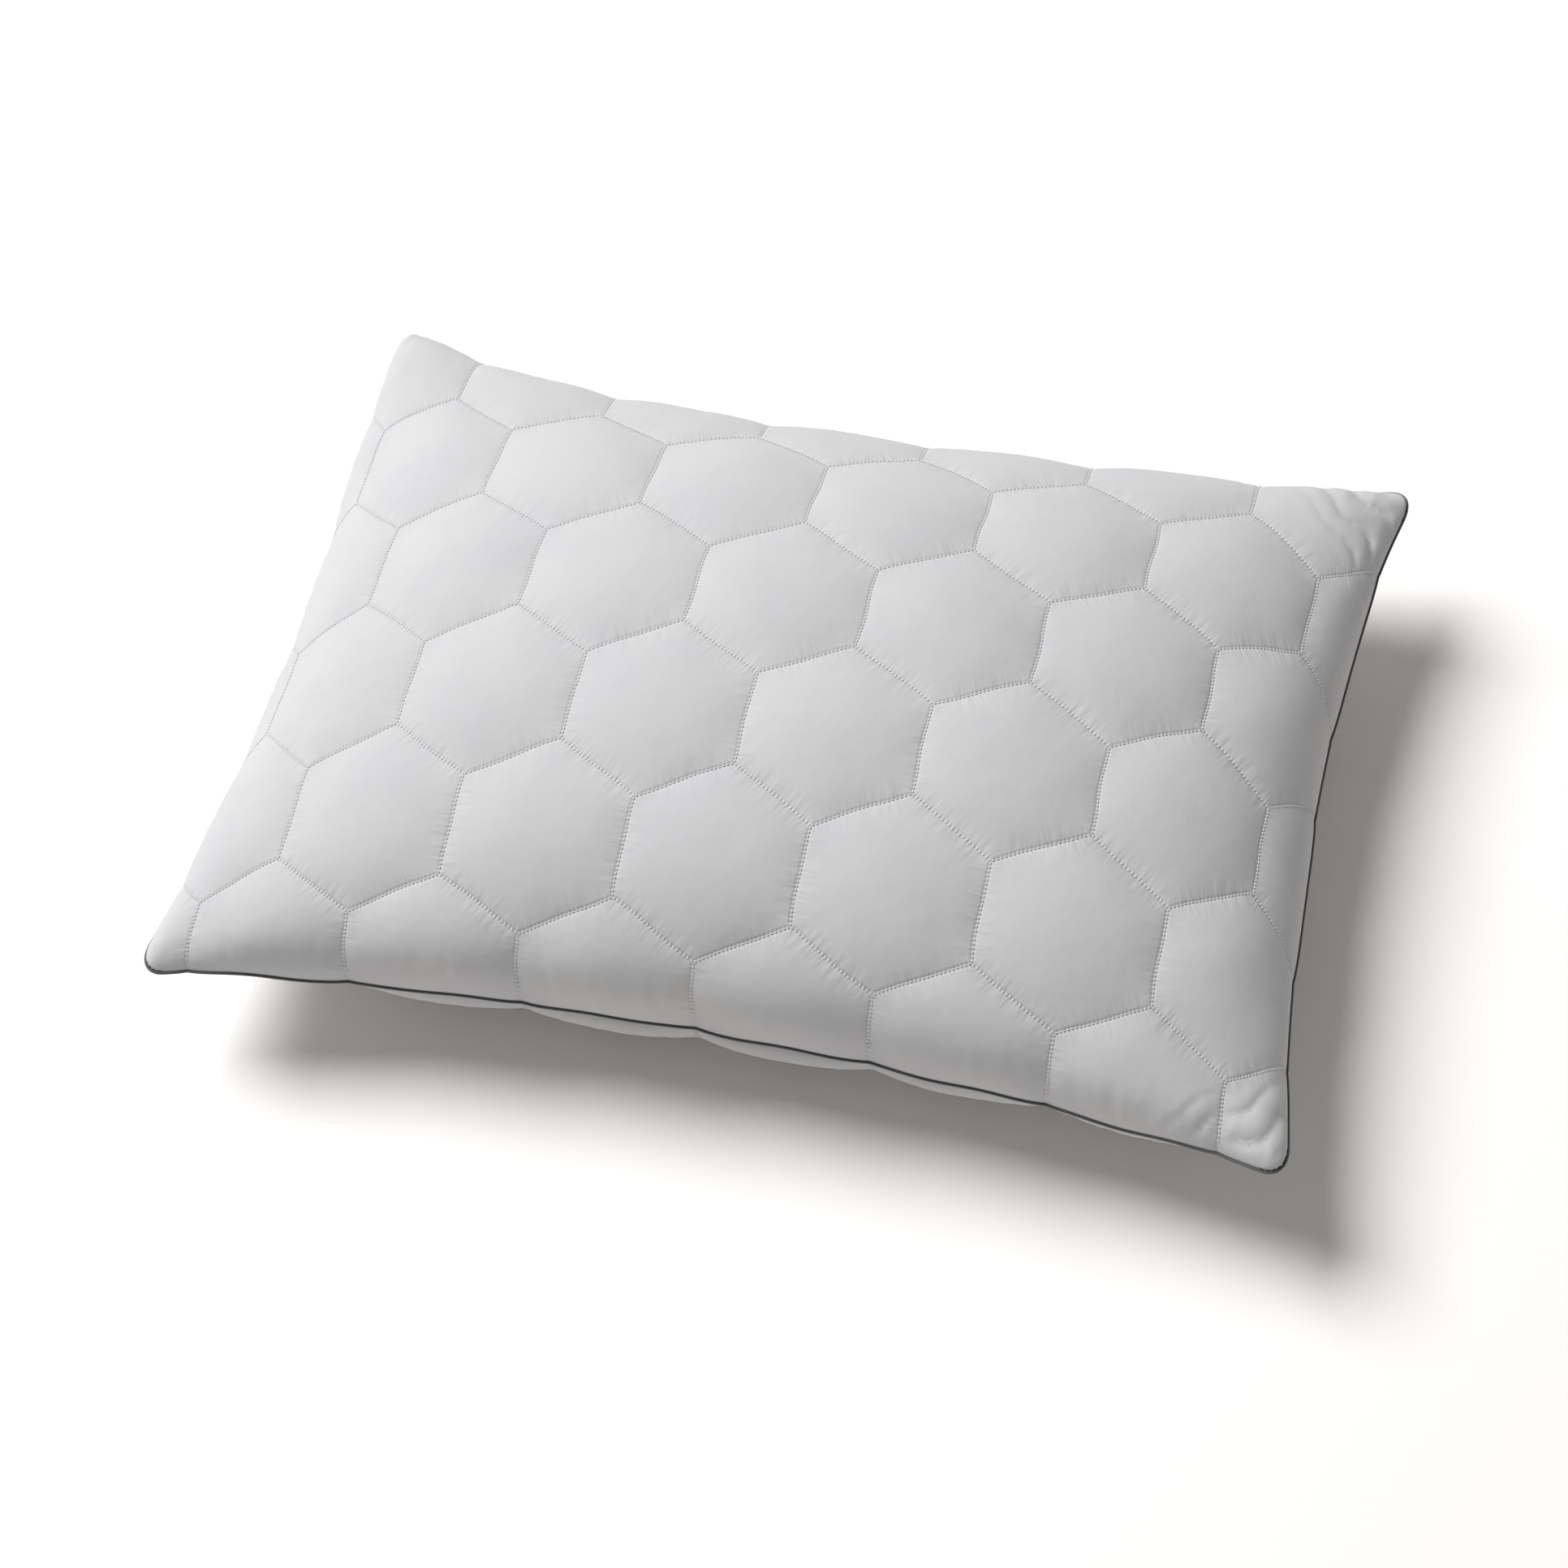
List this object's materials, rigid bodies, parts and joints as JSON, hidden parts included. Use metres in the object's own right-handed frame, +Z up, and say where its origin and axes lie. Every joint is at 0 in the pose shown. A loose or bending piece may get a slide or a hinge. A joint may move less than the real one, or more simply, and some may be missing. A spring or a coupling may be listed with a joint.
{
  "type": "bed pillow",
  "caption": "Rectangular bed pillow: hexagon-quilted front and back panels, a fine piped knife-edge seam and a soft fibre fill.",
  "frame": {"origin": "middle of the surface that the pillow lies on, below the middle of its box", "axes": "+X along the pillow, +Y across it away from its front long edge, +Z up through its front panel"},
  "size_m": [0.7258, 0.5132, 0.1822],
  "materials": {
    "quilted_cotton": "smooth white percale cotton, matt",
    "polyester_wadding": "lofty bonded wadding",
    "nonwoven_lining": "thin point-bonded nonwoven",
    "quilting_thread": "white spun thread",
    "grey_satin": "dark grey satin with a soft shine",
    "cotton_cord": "twisted raw cotton",
    "seam_thread": "white sewing thread",
    "fibre_fill": "loose siliconised hollow fibre",
    "label_satin": "blank white satin tape"
  },
  "bodies": {
    "root": {"front_fabric": "quilted_cotton", "front_wadding": "polyester_wadding", "front_lining": "nonwoven_lining", "front_quilting_thread": "quilting_thread", "back_fabric": "quilted_cotton", "back_wadding": "polyester_wadding", "back_lining": "nonwoven_lining", "back_quilting_thread": "quilting_thread", "piping_cover": "grey_satin", "piping_cord": "cotton_cord", "edge_seam_thread": "seam_thread", "closing_seam_thread": "seam_thread", "fibre_fill": "fibre_fill", "care_label": "label_satin"}
  },
  "joints": []
}
